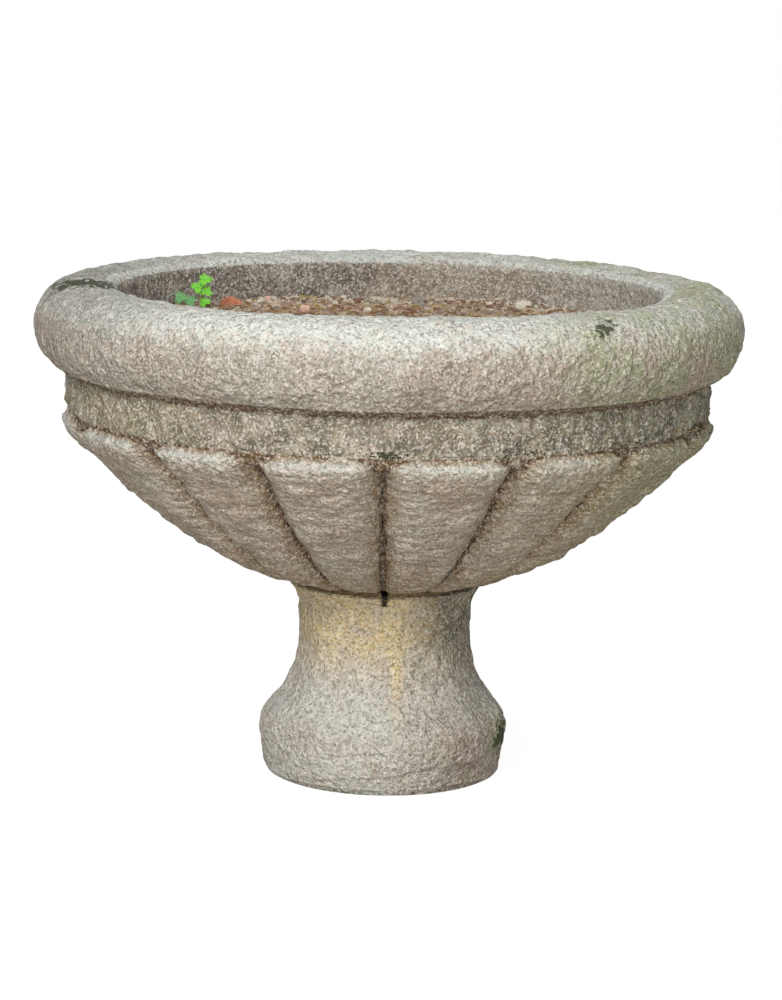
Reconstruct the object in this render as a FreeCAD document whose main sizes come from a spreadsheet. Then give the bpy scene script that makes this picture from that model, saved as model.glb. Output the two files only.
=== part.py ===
import FreeCAD, Part

import math
import os

import Sketcher

# Two-stone garden urn planter: a gadrooned granite bowl on a waisted granite
# pedestal, with the soil, drainage and small growth that the bowl holds.
# Millimetres, +Z up, origin under the middle of the foot, front towards -Y.

SIZES = {
    # pedestal, heights from the ground
    "pedestal_height": 236,
    "foot_bottom_radius": 145,
    "foot_edge_bevel": 8,
    "foot_radius": 150,
    "foot_side_height": 46,
    "torus_top_radius": 138,
    "torus_top_height": 83,
    "torus_round": 42,
    "waist_radius": 102,
    "waist_height": 174,
    "throating_radius": 104,
    "throating_height": 212,
    "cap_radius": 116,
    # weep notch in the pedestal's top bed, open to the front
    "weep_width": 9,
    "weep_depth": 11,
    # mortar joint between the two stones
    "joint_thickness": 4,
    "joint_setback": 7,
    "joint_bore": 24,
    # bowl stone, heights from its own bed
    "bowl_height": 360,
    "rim_radius": 425,
    "rim_roll": 50,
    "rim_depth": 107,
    "rim_fall": 3,
    "rim_overhang": 41,
    "rim_width": 101,
    "lip_bevel": 18,
    "wall_setback": 18,
    "wall_height": 262,
    "hip_setback": 44,
    "hip_height": 150,
    "floor_radius": 130,
    "floor_thickness": 65,
    "drain_radius": 15,
    "neck_radius": 112,
    # gadrooned underside: outline of the lobes' crests
    "throat_radius": 176,
    "throat_height": 20,
    "belly_radius": 239,
    "belly_height": 54,
    "haunch_setback": 67,
    "haunch_height": 157,
    "crest_setback": 33,
    "crest_height": 204,
    "ledge_step": 1,
    "ledge_height": 221,
    "haunch_sweep": 120,
    # grooves between the lobes: tilt of the section, half width and depth
    "lobe_count": 16,
    "crest_tilt": 8,
    "crest_groove_half": 22,
    "crest_groove_depth": 20,
    "haunch_tilt": 42,
    "haunch_groove_half": 22,
    "haunch_groove_depth": 15,
    "belly_tilt": 55,
    "belly_groove_half": 18,
    "belly_groove_depth": 11,
    "throat_tilt": 67,
    "throat_groove_half": 14,
    "throat_groove_depth": 8,
    "neck_tilt": 73,
    "neck_groove_half": 10,
    "neck_groove_depth": 5,
    "groove_lift": 1.5,
    "groove_brow": 0.3,
    "groove_rise": 4,
    "groove_run": 14,
    "cutter_reach": 14,
    # what the bowl holds, heights from the bowl's floor
    "fit_gap": 0.4,
    "crock_half": 58,
    "crock_rise": 20,
    "crock_wall": 7,
    "crock_length": 104,
    "gravel_depth": 45,
    "soil_depth": 192,
    # small pieces that lie on the soil, each set in from its edge at a bearing
    "shard_bend": 70,
    "shard_wall": 7,
    "shard_length": 34,
    "shard_height": 15,
    "shard_angle": 38,
    "shard_inset": 28,
    "shard_bearing": 135,
    "pink_length": 15,
    "pink_width": 11,
    "pink_rise": 9,
    "pink_inset": 113,
    "pink_bearing": 121.6,
    "pale_length": 22,
    "pale_width": 15,
    "pale_rise": 12,
    "pale_inset": 23.3,
    "pale_bearing": 53.9,
    "grey_length": 24,
    "grey_width": 14,
    "grey_rise": 9,
    "grey_inset": 29.1,
    "grey_bearing": 82.8,
    "tall_clover_height": 44,
    "tall_clover_inset": 34,
    "tall_clover_bearing": 147.8,
    "low_clover_height": 14,
    "low_clover_inset": 14.1,
    "low_clover_bearing": 147.5,
    "stem_radius": 0.9,
    "leaflet_length": 10,
    "leaflet_width": 9,
    "leaflet_wall": 0.7,
    "leaflet_root": 0.5,
}

doc = FreeCAD.newDocument("urn_planter")
sheet = doc.addObject("Spreadsheet::Sheet", "Sizes")
for row, (alias, number) in enumerate(SIZES.items(), start=1):
    sheet.set(f"A{row}", alias)
    sheet.set(f"B{row}", str(number))
    sheet.setAlias(f"B{row}", alias)
doc.recompute()


def bind(obj, target, formula):
    """Bind a property or a constraint of an object to the sheet.

    The names of sizes in the formula are given bare, such as "rim_radius".
    """
    obj.setExpression(target, on_sheet(formula))


def on_sheet(formula):
    """Return the formula with each size's name pointing at the sheet."""
    words, word = [], ""
    for letter in formula + " ":
        if letter.isalnum() or letter == "_":
            word += letter
            continue
        words.append(f"Sizes.{word}" if word in SIZES else word)
        words.append(letter)
        word = ""
    return "".join(words).strip()


def value(formula):
    """Return the number that a formula of sizes gives."""
    return float(FreeCAD.Units.Quantity(str(sheet.evalExpression(on_sheet(formula)))).Value)


def origin_plane(body, role):
    """Return a body's own origin plane by its role."""
    return next(item for item in body.Origin.OriginFeatures if item.Role == role)


def new_body(label):
    """Make an empty body whose label names its node."""
    body = doc.addObject("PartDesign::Body", label)
    body.Label = label
    return body


def new_sketch(body, name, role):
    """Add a sketch on one of the body's origin planes."""
    sketch = body.newObject("Sketcher::SketchObject", name)
    sketch.AttachmentSupport = [(origin_plane(body, role), "")]
    sketch.MapMode = "FlatFace"
    return sketch


def draw(sketch, corners):
    """Draw a closed outline of lines and arcs, each corner tied to the sheet.

    A corner is (x, y) for a line to the next corner, or (x, y, radius, side)
    for an arc to it, bulging to the left (+1) or right (-1) of the way there.
    """
    places = [FreeCAD.Vector(value(c[0]), value(c[1]), 0) for c in corners]
    count = len(corners)
    for index, corner in enumerate(corners):
        start, end = places[index], places[(index + 1) % count]
        if len(corner) == 2:
            sketch.addGeometry(Part.LineSegment(start, end), False)
            continue
        radius, side = value(corner[2]), corner[3]
        chord = end - start
        half = chord.Length / 2
        left = FreeCAD.Vector(-chord.y, chord.x, 0).normalize()
        centre = (start + end) * 0.5 - left * side * math.sqrt(radius**2 - half**2)
        first = math.atan2(start.y - centre.y, start.x - centre.x)
        last = math.atan2(end.y - centre.y, end.x - centre.x)
        if side > 0:
            first, last = last, first
        circle = Part.Circle(centre, FreeCAD.Vector(0, 0, 1), radius)
        sketch.addGeometry(Part.ArcOfCircle(circle, first, last), False)
    for index, corner in enumerate(corners):
        begin, finish = ends(corner)
        following = (index + 1) % count
        next_begin, _ = ends(corners[following])
        sketch.addConstraint(
            Sketcher.Constraint("Coincident", index, finish, following, next_begin)
        )
        tie(sketch, "DistanceX", index, begin, corner[0])
        tie(sketch, "DistanceY", index, begin, corner[1])
        if len(corner) > 2:
            number = sketch.addConstraint(
                Sketcher.Constraint("Radius", index, value(corner[2]))
            )
            bind(sketch, f"Constraints[{number}]", corner[2])


def ends(corner):
    """Return the start and end point numbers of a corner's line or arc."""
    clockwise = len(corner) > 2 and corner[3] > 0
    return (2, 1) if clockwise else (1, 2)


def tie(sketch, kind, geometry, point, formula):
    """Hold one coordinate of a point at a formula of sizes."""
    number = sketch.addConstraint(
        Sketcher.Constraint(kind, -1, 1, geometry, point, value(formula))
    )
    bind(sketch, f"Constraints[{number}]", formula)


def revolve(body, sketch, name="Revolution"):
    """Turn an outline drawn in the XZ plane once round the Z axis."""
    feature = body.newObject("PartDesign::Revolution", name)
    feature.Profile = sketch
    feature.ReferenceAxis = (sketch, ["V_Axis"])
    feature.Angle = 360
    return feature


# ---------------------------------------------------------------- formulas
BOWL_BED = "pedestal_height + joint_thickness"
CREASE_RADIUS = "(rim_radius - rim_overhang)"
CREASE_HEIGHT = "bowl_height - rim_depth"
LEDGE_RADIUS = f"({CREASE_RADIUS} + ledge_step)"
CREST_RADIUS = "(rim_radius - crest_setback)"
HAUNCH_RADIUS = "(rim_radius - haunch_setback)"
LIP_RADIUS = "(rim_radius - rim_width)"
LIP_HEIGHT = "(bowl_height - rim_fall - lip_bevel)"
WALL_RADIUS = f"({LIP_RADIUS} - wall_setback)"
HIP_RADIUS = f"({WALL_RADIUS} - hip_setback)"
BOWL_FLOOR = f"({BOWL_BED} + floor_thickness)"
SOIL_LEVEL = f"{BOWL_FLOOR} + gravel_depth + soil_depth"


def tangent_radius(run, rise):
    """Return the radius of an arc that ends square to its run."""
    return f"(({run})^2 + ({rise})^2) / (2 * ({run}))"


def on_cone(height, low, high):
    """Return the radius at a height on the cone between two corners."""
    share = f"({height} - {low[1]}) / ({high[1]} - {low[1]})"
    return f"{low[0]} + ({high[0]} - {low[0]}) * {share}"


# corners of the bowl's hollow, from its floor up to the lip
HOLLOW = {
    "floor": ("floor_radius", "floor_thickness"),
    "hip": (HIP_RADIUS, "hip_height"),
    "wall": (WALL_RADIUS, "wall_height"),
    "lip": (LIP_RADIUS, LIP_HEIGHT),
}
SOIL_TOP = "(floor_thickness + gravel_depth + soil_depth)"
SOIL_EDGE = f"({on_cone(SOIL_TOP, HOLLOW['wall'], HOLLOW['lip'])})"


# ------------------------------------------------------------------- bowl
def make_bowl():
    """Bowl stone: rolled rim, frieze, sixteen gadroons, hollow and drain."""
    body = new_body("bowl")
    outline = new_sketch(body, "bowl_outline", "XZ_Plane")
    under_rim = tangent_radius("rim_overhang", "rim_depth - rim_roll")
    draw(outline, [
        ("drain_radius", "0"),
        ("neck_radius", "0"),
        ("throat_radius", "throat_height"),
        ("belly_radius", "belly_height"),
        (HAUNCH_RADIUS, "haunch_height", "haunch_sweep", -1),
        (CREST_RADIUS, "crest_height"),
        (LEDGE_RADIUS, "ledge_height"),
        (CREASE_RADIUS, CREASE_HEIGHT, under_rim, -1),
        ("rim_radius", "bowl_height - rim_roll", "rim_roll", -1),
        ("rim_radius - rim_roll", "bowl_height"),
        (f"{LIP_RADIUS} + lip_bevel", "bowl_height - rim_fall"),
        HOLLOW["lip"],
        HOLLOW["wall"],
        HOLLOW["hip"],
        HOLLOW["floor"],
        ("drain_radius", "floor_thickness"),
    ])
    revolve(body, outline)

    belly = ("belly_radius", "belly_height", "belly_groove_half", "belly_groove_depth")
    haunch = (HAUNCH_RADIUS, "haunch_height", "haunch_groove_half", "haunch_groove_depth")
    crest = (CREST_RADIUS, "crest_height", "crest_groove_half", "crest_groove_depth")
    throat = ("throat_radius", "throat_height", "throat_groove_half", "throat_groove_depth")
    fall = "(throat_height / (throat_radius - neck_radius))"
    neck = ("neck_radius - groove_run", f"-groove_run * {fall}",
            "neck_groove_half", "neck_groove_depth")
    mouth = (CREST_RADIUS, "ledge_height + groove_rise",
             "crest_groove_half", "rim_overhang - crest_setback - 2 * ledge_step")
    stations = [
        station(mouth, "0"),
        station(crest, "crest_tilt"),
        halfway(haunch, crest, "haunch_sweep"),
        station(haunch, "haunch_tilt"),
        station(belly, "belly_tilt"),
        station(throat, "throat_tilt"),
        station(neck, "neck_tilt"),
    ]
    sections = [groove_section(body, f"groove_{i}", *s) for i, s in enumerate(stations)]
    groove = body.newObject("PartDesign::SubtractiveLoft", "groove")
    groove.Profile = sections[0]
    groove.Sections = sections[1:]
    groove.Ruled = True

    ring = body.newObject("PartDesign::PolarPattern", "gadroons")
    ring.Originals = [groove]
    ring.Axis = (outline, ["V_Axis"])
    ring.Angle = 360
    bind(ring, "Occurrences", "lobe_count")
    body.Tip = ring
    bind(body, "Placement.Base.z", BOWL_BED)
    return body


def station(corner, tilt):
    """Return the groove section at a corner of the outline."""
    reach, height, half, depth = corner
    return (reach, height, tilt, half, depth)


def halfway(low, high, sweep):
    """Return the groove section at the middle of one arc of the outline."""
    run, rise = f"({high[0]} - {low[0]})", f"({high[1]} - {low[1]})"
    chord = f"sqrt({run}^2 + {rise}^2)"
    bulge = f"({sweep} - sqrt({sweep}^2 - ({run}^2 + {rise}^2) / 4))"
    reach = f"({low[0]} + {high[0]}) / 2 + {bulge} * {rise} / {chord}"
    height = f"({low[1]} + {high[1]}) / 2 - {bulge} * {run} / {chord}"
    half, depth = (f"({low[i]} + {high[i]}) / 2" for i in (2, 3))
    return (reach, height, f"atan({run} / {rise}) / 1 deg", half, depth)


def groove_section(body, name, reach, height, tilt, half, depth):
    """Section of the groove between two lobes, square to the outline.

    Each flank bends over from the steep groove to the lobe's face at a brow
    that lies at a share of the groove's depth, half way out.
    """
    sketch = new_sketch(body, name, "XY_Plane")
    sketch.AttachmentOffset = FreeCAD.Placement(
        FreeCAD.Vector(0, -value(reach), value(height)),
        FreeCAD.Rotation(FreeCAD.Vector(1, 0, 0), 180 + value(tilt)),
    )
    bind(sketch, "AttachmentOffset.Base.y", f"-({reach})")
    bind(sketch, "AttachmentOffset.Base.z", height)
    bind(sketch, "AttachmentOffset.Rotation.Angle", f"180 + {tilt}")
    brow = f"-({depth}) * groove_brow"
    draw(sketch, [
        (f"-({half})", "cutter_reach"),
        (f"-({half})", "groove_lift"),
        (f"-({half}) / 2", brow),
        ("0", f"-({depth})"),
        (f"({half}) / 2", brow),
        (half, "groove_lift"),
        (half, "cutter_reach"),
    ])
    return sketch


# --------------------------------------------------------------- pedestal
def make_pedestal():
    """Waisted pedestal stone with its rounded foot and the weep notch."""
    body = new_body("pedestal")
    outline = new_sketch(body, "pedestal_outline", "XZ_Plane")
    below_waist = tangent_radius(
        "torus_top_radius - waist_radius", "waist_height - torus_top_height"
    )
    draw(outline, [
        ("0", "0"),
        ("foot_bottom_radius - foot_edge_bevel", "0"),
        ("foot_bottom_radius", "foot_edge_bevel"),
        ("foot_radius", "foot_side_height", "torus_round", -1),
        ("torus_top_radius", "torus_top_height", below_waist, 1),
        ("waist_radius", "waist_height"),
        ("throating_radius", "throating_height"),
        ("cap_radius", "pedestal_height"),
        ("0", "pedestal_height"),
    ])
    revolve(body, outline)
    notch = new_sketch(body, "weep_section", "XZ_Plane")
    draw(notch, [
        ("-weep_width / 2", "pedestal_height"),
        ("-weep_width / 6", "pedestal_height - weep_depth"),
        ("weep_width / 6", "pedestal_height - weep_depth"),
        ("weep_width / 2", "pedestal_height"),
    ])
    weep = body.newObject("PartDesign::Pocket", "weep")
    weep.Profile = notch
    weep.Type = "Length"
    bind(weep, "Length", "cap_radius + weep_width")
    weep.Reversed = True
    body.Tip = weep
    return body


# ----------------------------------------------------------- mortar joint
def make_mortar_bed():
    """Ring of mortar between the stones, open where the weep leaves."""
    body = new_body("mortar_bed")
    ring = new_sketch(body, "bed_ring", "XZ_Plane")
    outer = "neck_radius - joint_setback"
    draw(ring, [
        ("joint_bore", "0"),
        (outer, "0"),
        (outer, "joint_thickness"),
        ("joint_bore", "joint_thickness"),
    ])
    revolve(body, ring)
    gap = new_sketch(body, "weep_gap", "XY_Plane")
    draw(gap, [
        ("-weep_width / 2", "-neck_radius"),
        ("weep_width / 2", "-neck_radius"),
        ("weep_width / 2", "0"),
        ("-weep_width / 2", "0"),
    ])
    cut = body.newObject("PartDesign::Pocket", "weep_way")
    cut.Profile = gap
    cut.Type = "Length"
    bind(cut, "Length", "joint_thickness")
    cut.Reversed = True
    body.Tip = cut
    bind(body, "Placement.Base.z", "pedestal_height")
    return body


# ------------------------------------------------------- inside the bowl
def make_drain_crock():
    """Curved potsherd that arches over the drain hole and keeps grit out."""
    body = new_body("drain_crock")
    end = new_sketch(body, "crock_end", "XZ_Plane")
    inner_half = "crock_half - crock_wall"
    inner_rise = "crock_rise - crock_wall"
    draw(end, [
        ("crock_half", "0", tangent_radius("crock_rise", "crock_half"), -1),
        ("-crock_half", "0"),
        (f"-({inner_half})", "0", tangent_radius(inner_rise, inner_half), 1),
        (inner_half, "0"),
    ])
    pad = body.newObject("PartDesign::Pad", "crock_pad")
    pad.Profile = end
    pad.Midplane = True
    bind(pad, "Length", "crock_length")
    bind(body, "Placement.Base.z", BOWL_FLOOR)
    return body


def make_layer(label, corners):
    """Fill between corners of the bowl's hollow, clear of its wall."""
    body = new_body(label)
    outline = new_sketch(body, f"{label}_outline", "XZ_Plane")
    side = [(f"{reach} - fit_gap", height) for reach, height in corners]
    draw(outline, [("0", side[0][1]), *side, ("0", side[-1][1])])
    revolve(body, outline)
    bind(body, "Placement.Base.z", BOWL_BED)
    return body


def make_gravel():
    """Drainage gravel on the bowl's floor, lying over the crock."""
    top = "(floor_thickness + gravel_depth)"
    body = make_layer("drainage_gravel", [
        HOLLOW["floor"],
        (on_cone(top, HOLLOW["floor"], HOLLOW["hip"]), top),
    ])
    arch = new_sketch(body, "crock_space", "XZ_Plane")
    half, rise = "crock_half + fit_gap", "crock_rise + fit_gap"
    draw(arch, [
        (half, "floor_thickness", tangent_radius(rise, half), -1),
        (f"-({half})", "floor_thickness"),
    ])
    room = body.newObject("PartDesign::Pocket", "crock_room")
    room.Profile = arch
    room.Type = "Length"
    room.Midplane = True
    bind(room, "Length", "crock_length + 2 * fit_gap")
    body.Tip = room
    return body


def make_soil():
    """Soil from the gravel up to its level under the rim."""
    bottom = "(floor_thickness + gravel_depth + fit_gap)"
    return make_layer("soil", [
        (on_cone(bottom, HOLLOW["floor"], HOLLOW["hip"]), bottom),
        HOLLOW["hip"],
        HOLLOW["wall"],
        (SOIL_EDGE, SOIL_TOP),
    ])


# ------------------------------------------------------- on top of the soil
def set_on_soil(piece, name):
    """Stand a piece on the soil, set in from its edge at a bearing."""
    reach = f"({SOIL_EDGE} - {name}_inset)"
    bind(piece, "Placement.Base.x", f"{reach} * cos({name}_bearing)")
    bind(piece, "Placement.Base.y", f"{reach} * sin({name}_bearing)")
    bind(piece, "Placement.Base.z", f"{SOIL_LEVEL} + fit_gap")


def make_shard():
    """Piece of a broken terracotta pot, standing curved on the soil."""
    body = new_body("terracotta_shard")
    plan = new_sketch(body, "shard_plan", "XY_Plane")
    inside = "shard_bend - shard_wall"
    draw(plan, [
        ("-shard_length / 2", "0", "shard_bend", 1),
        ("shard_length / 2", "0"),
        (f"shard_length / 2 * ({inside}) / shard_bend", "-shard_wall", inside, -1),
        (f"-shard_length / 2 * ({inside}) / shard_bend", "-shard_wall"),
    ])
    pad = body.newObject("PartDesign::Pad", "shard_pad")
    pad.Profile = plan
    bind(pad, "Length", "shard_height")
    body.Placement = FreeCAD.Placement(
        FreeCAD.Vector(0, 0, 0), FreeCAD.Rotation(FreeCAD.Vector(0, 0, 1), 1)
    )
    bind(body, "Placement.Rotation.Angle", "shard_angle")
    set_on_soil(body, "shard")
    return body


def make_pebble(name):
    """Broken bit of stone bedded in the soil: six worn sides and a flat top."""
    body = new_body(f"pebble_{name}")
    plan = new_sketch(body, f"{name}_plan", "XY_Plane")
    length, width = f"{name}_length", f"{name}_width"
    draw(plan, [
        (f"{length} * 0.5", f"{width} * -0.1"),
        (f"{length} * 0.28", f"{width} * 0.46"),
        (f"{length} * -0.2", f"{width} * 0.5"),
        (f"{length} * -0.5", f"{width} * 0.12"),
        (f"{length} * -0.32", f"{width} * -0.42"),
        (f"{length} * 0.22", f"{width} * -0.5"),
    ])
    pad = body.newObject("PartDesign::Pad", f"{name}_pad")
    pad.Profile = plan
    bind(pad, "Length", f"{name}_rise")
    set_on_soil(body, name)
    return body


def make_clover(name):
    """Clover leaf: thin stem and three notched leaflets at its top."""
    body = new_body(f"clover_{name}")
    ring = new_sketch(body, f"{name}_stem_ring", "XY_Plane")
    ring.addGeometry(
        Part.Circle(FreeCAD.Vector(0, 0, 0), FreeCAD.Vector(0, 0, 1), value("stem_radius")), False
    )
    ring.addConstraint(Sketcher.Constraint("Coincident", 0, 3, -1, 1))
    number = ring.addConstraint(Sketcher.Constraint("Radius", 0, value("stem_radius")))
    bind(ring, f"Constraints[{number}]", "stem_radius")
    stem = body.newObject("PartDesign::Pad", f"{name}_stem")
    stem.Profile = ring
    bind(stem, "Length", f"{name}_clover_height")

    heart = new_sketch(body, f"{name}_leaflet", "XY_Plane")
    heart.AttachmentOffset = FreeCAD.Placement(
        FreeCAD.Vector(0, 0, 1), FreeCAD.Rotation()
    )
    bind(heart, "AttachmentOffset.Base.z", f"{name}_clover_height - leaflet_wall")
    draw(heart, [
        ("0", "-leaflet_root"),
        ("leaflet_length * 0.6", "-leaflet_width / 2"),
        ("leaflet_length", "-leaflet_width * 0.3"),
        ("leaflet_length * 0.85", "0"),
        ("leaflet_length", "leaflet_width * 0.3"),
        ("leaflet_length * 0.6", "leaflet_width / 2"),
        ("0", "leaflet_root"),
    ])
    leaf = body.newObject("PartDesign::Pad", f"{name}_leaf")
    leaf.Profile = heart
    bind(leaf, "Length", "leaflet_wall")
    trefoil = body.newObject("PartDesign::PolarPattern", f"{name}_trefoil")
    trefoil.Originals = [leaf]
    trefoil.Axis = (ring, ["N_Axis"])
    trefoil.Angle = 360
    trefoil.Occurrences = 3
    body.Tip = trefoil
    set_on_soil(body, f"{name}_clover")
    return body


pieces = [
    make_bowl(),
    make_pedestal(),
    make_mortar_bed(),
    make_drain_crock(),
    make_gravel(),
    make_soil(),
    make_shard(),
    make_pebble("pink"),
    make_pebble("pale"),
    make_pebble("grey"),
    make_clover("tall"),
    make_clover("low"),
]
doc.recompute()

for item in doc.Objects:
    if "Invalid" in item.State or "Error" in item.State:
        raise RuntimeError(f"{item.Label} did not build: {item.State}")
for piece in pieces:
    if piece.Shape.isNull() or not piece.Shape.isValid():
        raise RuntimeError(f"{piece.Label} has no valid shape")

os.makedirs("parts", exist_ok=True)
for piece in pieces:
    piece.Shape.exportStep(f"parts/{piece.Label}.step")
    box = piece.Shape.BoundBox
    print(f"{piece.Label:18s} volume {piece.Shape.Volume / 1000:10.2f} cm3,"
          f" z {box.ZMin:7.1f} to {box.ZMax:7.1f}, solids {len(piece.Shape.Solids)}")
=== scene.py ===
import itertools
import logging
import math
from dataclasses import dataclass, field
from enum import Enum

import bmesh
import bpy
import numpy as np
from mathutils import Matrix, Vector


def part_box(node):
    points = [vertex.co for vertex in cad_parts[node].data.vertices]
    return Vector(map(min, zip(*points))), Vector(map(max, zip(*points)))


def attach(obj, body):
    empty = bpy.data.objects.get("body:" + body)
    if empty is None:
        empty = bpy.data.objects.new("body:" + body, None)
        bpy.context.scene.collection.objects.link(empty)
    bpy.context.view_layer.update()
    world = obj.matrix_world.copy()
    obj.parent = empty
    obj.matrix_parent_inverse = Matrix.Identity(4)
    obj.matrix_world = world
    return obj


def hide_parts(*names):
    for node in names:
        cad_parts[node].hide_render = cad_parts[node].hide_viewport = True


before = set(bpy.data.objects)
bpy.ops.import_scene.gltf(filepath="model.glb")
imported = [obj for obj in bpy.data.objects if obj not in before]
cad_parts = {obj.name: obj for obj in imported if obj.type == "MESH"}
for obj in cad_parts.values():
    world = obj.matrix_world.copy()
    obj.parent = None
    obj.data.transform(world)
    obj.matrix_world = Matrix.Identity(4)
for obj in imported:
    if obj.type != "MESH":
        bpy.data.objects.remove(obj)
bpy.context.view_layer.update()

LOG = logging.getLogger("urn")
MM = 0.001


def colour(red: int, green: int, blue: int) -> tuple[float, float, float, float]:
    """Return a display colour, given in 0 to 255, as linear light.

    Args:
        red: Red as a display shows it.
        green: Green as a display shows it.
        blue: Blue as a display shows it.

    Returns:
        The colour that a shader socket takes.
    """
    def linear(level: float) -> float:
        """Undo the display's curve for one channel."""
        return level / 12.92 if level <= 0.04045 else ((level + 0.055) / 1.055) ** 2.4

    return (linear(red / 255), linear(green / 255), linear(blue / 255), 1.0)


# --------------------------------------------------------------- shader maths
class Shade:
    """A number that varies over a surface; arithmetic on it adds Math nodes."""

    def __init__(self, bench: "Bench", socket: bpy.types.NodeSocket) -> None:
        """Wrap a socket of the bench's node tree."""
        self.bench = bench
        self.socket = socket

    def _maths(self, operation: str, first: object, second: object = None) -> "Shade":
        """Add one Math node.

        Args:
            operation: The Math node's operation.
            first: The upper input, a number or a Shade.
            second: The lower input, where the operation has one.

        Returns:
            The node's result.
        """
        inputs = {0: first} if second is None else {0: first, 1: second}
        return self.bench.shade("ShaderNodeMath", {"operation": operation}, inputs)

    def __add__(self, other: object) -> "Shade":
        """Return self + other."""
        return self._maths("ADD", self, other)

    def __radd__(self, other: object) -> "Shade":
        """Return other + self."""
        return self._maths("ADD", other, self)

    def __sub__(self, other: object) -> "Shade":
        """Return self - other."""
        return self._maths("SUBTRACT", self, other)

    def __rsub__(self, other: object) -> "Shade":
        """Return other - self."""
        return self._maths("SUBTRACT", other, self)

    def __mul__(self, other: object) -> "Shade":
        """Return self * other."""
        return self._maths("MULTIPLY", self, other)

    def __rmul__(self, other: object) -> "Shade":
        """Return other * self."""
        return self._maths("MULTIPLY", other, self)

    def step(self, low: float, high: float) -> "Shade":
        """Rise smoothly from 0 to 1 between two levels.

        Args:
            low: The level that gives 0.
            high: The level that gives 1.

        Returns:
            The eased share.
        """
        settings = {"interpolation_type": "SMOOTHSTEP"}
        return self.bench.shade("ShaderNodeMapRange", settings, {0: self, 1: low, 2: high})


class Bench:
    """Where one material, or the world, is put together node by node."""

    def __init__(self, name: str, world: bpy.types.World | None = None) -> None:
        """Start with no nodes.

        Args:
            name: The new material's name.
            world: The world that gets the nodes instead, if any.
        """
        self.material = world or bpy.data.materials.new(name)
        self.material.use_nodes = True
        self.tree = self.material.node_tree
        self.tree.nodes.clear()
        self.place = self.node("ShaderNodeTexCoord").outputs["Object"]

    def node(self, kind: str, settings: dict | None = None,
             inputs: dict | None = None) -> bpy.types.Node:
        """Add a node.

        Args:
            kind: The node's type.
            settings: Its properties, set first.
            inputs: Values or links by socket name or number.

        Returns:
            The new node.
        """
        node = self.tree.nodes.new(kind)
        for name, value in (settings or {}).items():
            setattr(node, name, value)
        for name, value in (inputs or {}).items():
            if isinstance(value, Shade):
                value = value.socket
            if isinstance(value, bpy.types.NodeSocket):
                self.tree.links.new(value, node.inputs[name])
            else:
                node.inputs[name].default_value = value
        return node

    def shade(self, kind: str, settings: dict | None = None, inputs: dict | None = None,
              output: int | str = 0) -> Shade:
        """Add a node and take one of its outputs.

        Args:
            kind: The node's type.
            settings: Its properties, set first.
            inputs: Values or links by socket name or number.
            output: The output's name or number.

        Returns:
            The output as a Shade.
        """
        return Shade(self, self.node(kind, settings, inputs).outputs[output])

    def mask(self, name: str) -> Shade:
        """Return a number that the mesh carries at its points."""
        return self.shade("ShaderNodeAttribute", {"attribute_name": name}, {}, "Fac")

    def noise(self, size: float, detail: float = 3.0, rough: float = 0.55,
              stretch: tuple[float, float, float] | None = None,
              shift: float = 0.0) -> Shade:
        """Return cloudy noise.

        Args:
            size: The clouds' size in metres.
            detail: How many finer layers it has.
            rough: How strong each finer layer is.
            stretch: Factors that lengthen the clouds along each axis.
            shift: Moves the pattern, so that two noises differ.

        Returns:
            A Shade about 0.5.
        """
        long = stretch or (1.0, 1.0, 1.0)
        scaled = self.node("ShaderNodeMapping", {}, {
            "Vector": self.place,
            "Location": (shift, shift * 0.7, -shift),
            "Scale": tuple(1 / (size * part) for part in long),
        })
        inputs = {"Vector": scaled.outputs[0], "Scale": 1.0, "Detail": detail,
                  "Roughness": rough}
        return self.shade("ShaderNodeTexNoise", {}, inputs)

    def cells(self, size: float, shift: float = 0.0) -> bpy.types.Node:
        """Add a Voronoi node.

        Args:
            size: The cells' size in metres.
            shift: Moves the pattern, so that two patterns differ.

        Returns:
            The node.
        """
        scaled = self.node("ShaderNodeMapping", {}, {
            "Vector": self.place, "Location": (shift, -shift, shift),
            "Scale": (1 / size,) * 3})
        return self.node("ShaderNodeTexVoronoi", {}, {"Vector": scaled.outputs[0], "Scale": 1.0})

    def blend(self, share: object, under: object, over: object, way: str = "MIX") -> object:
        """Mix two colours.

        Args:
            share: How much of the upper colour shows.
            under: The lower colour.
            over: The upper colour.
            way: The Mix node's blend type.

        Returns:
            The mixed colour's socket.
        """
        node = self.node("ShaderNodeMix", {"data_type": "RGBA", "blend_type": way},
                         {0: share, 6: under, 7: over})
        return node.outputs[2]

    def finish(self, base: object, roughness: object, height: Shade | None = None,
               depth: float = 0.001, fixed: dict | None = None) -> bpy.types.Material:
        """Close the material with a Principled shader.

        Args:
            base: Base colour.
            roughness: Roughness, a number or a Shade.
            height: Relief for the bump, if any.
            depth: The relief's depth in metres.
            fixed: Values of other sockets that are the same all over.

        Returns:
            The material.
        """
        inputs = {"Base Color": base, "Roughness": roughness, **(fixed or {})}
        if height is not None:
            bump = self.node("ShaderNodeBump", {}, {
                "Strength": 1.0, "Distance": depth, "Height": height})
            inputs["Normal"] = bump.outputs[0]
        shader = self.node("ShaderNodeBsdfPrincipled", {}, inputs)
        self.node("ShaderNodeOutputMaterial", {}, {"Surface": shader.outputs[0]})
        return self.material


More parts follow.
